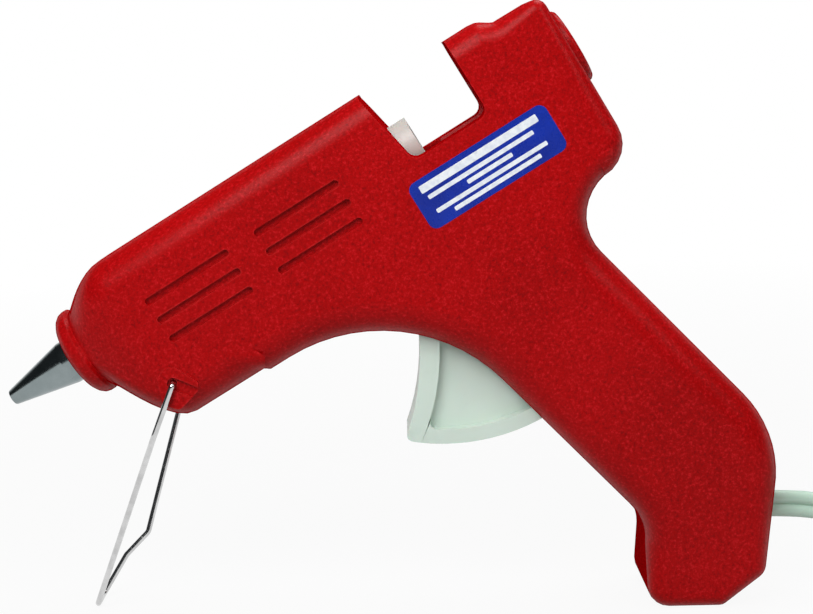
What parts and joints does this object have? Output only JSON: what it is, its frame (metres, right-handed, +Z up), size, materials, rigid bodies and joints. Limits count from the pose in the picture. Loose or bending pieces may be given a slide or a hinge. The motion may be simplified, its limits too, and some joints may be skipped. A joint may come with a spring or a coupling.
{
  "type": "hot glue applicator",
  "caption": "Trigger-fed hot glue applicator with a split moulded casing, heated metal nozzle, loading notch, folding wire stand and mains cord.",
  "frame": {"origin": "middle of the flat base of the handle, on the surface that the applicator rests on", "axes": "+Z up as it rests; +X from the nozzle's end towards the rear; the labelled side of the casing faces -Y"},
  "size_m": [0.394, 0.0618, 0.1555],
  "materials": {
    "red_plastic": "fine moulded grain",
    "pale_plastic": "satin",
    "cream_plastic": "satin",
    "white_plastic": "satin",
    "steel": "plain",
    "bare_metal": "turned",
    "cast_metal": "cast",
    "bright_wire": "bright",
    "brass": "plain",
    "tan_insulator": "moulded",
    "heater_ceramic": "unglazed",
    "amber_film": "film",
    "silicone": "soft",
    "blue_label": "printed film, bare",
    "lead_jacket": "sleeved",
    "cord_jacket": "smooth",
    "dark_tie": "plain"
  },
  "bodies": {
    "casing": {"casing_near": "red_plastic", "casing_far": "red_plastic", "casing_screws": "steel", "nozzle": "bare_metal", "nose_insulator": "tan_insulator", "melt_chamber": "cast_metal", "heater_tile": "heater_ceramic", "electrode_upper": "brass", "electrode_lower": "brass", "heater_film": "amber_film", "inlet_sleeve": "silicone", "sleeve_clamp": "steel", "trigger_pin": "steel", "return_spring": "steel", "rear_bush": "red_plastic", "label_plate": "blue_label", "cord_clamp": "white_plastic", "clamp_screws": "steel", "splices": "steel", "lead_live": "lead_jacket", "lead_neutral": "lead_jacket", "cord_lead": "cord_jacket", "cord_coil": "cord_jacket", "cord_tail": "cord_jacket", "cord_tie": "dark_tie", "plug_body": "cord_jacket", "plug_blades": "brass"},
    "trigger": {"trigger": "pale_plastic"},
    "carriage": {"feed_carriage": "cream_plastic", "gripper_pin": "steel"},
    "gripper": {"stick_gripper": "steel"},
    "stand": {"stand": "bright_wire"}
  },
  "joints": [
    {"name": "trigger_swing", "type": "hinge", "parent": "casing", "child": "trigger", "pos_m": [-0.06351, 0, 0.09612], "axis": [0, -1, 0], "range_deg": [0, 16], "stiffness_Nm_per_rad": 0.6, "springref_deg": -5.73},
    {"name": "feed_slide", "type": "slide", "parent": "casing", "child": "carriage", "axis": [-0.8572, 0, -0.515], "range_m": [0, 0.00464], "deforming": ["return_spring"]},
    {"name": "gripper_tilt", "type": "hinge", "parent": "carriage", "child": "gripper", "pos_m": [-0.07509, 0, 0.10666], "axis": [0, -1, 0], "range_deg": [0, 8.1]},
    {"name": "stand_fold", "type": "hinge", "parent": "casing", "child": "stand", "pos_m": [-0.13204, 0, 0.06241], "axis": [0, -1, 0], "range_deg": [0, 75]}
  ],
  "couplings": [
    {"joint": "feed_slide", "follows": "trigger_swing", "m_per_rad": 0.0166},
    {"joint": "gripper_tilt", "follows": "trigger_swing", "ratio": 0.5}
  ]
}
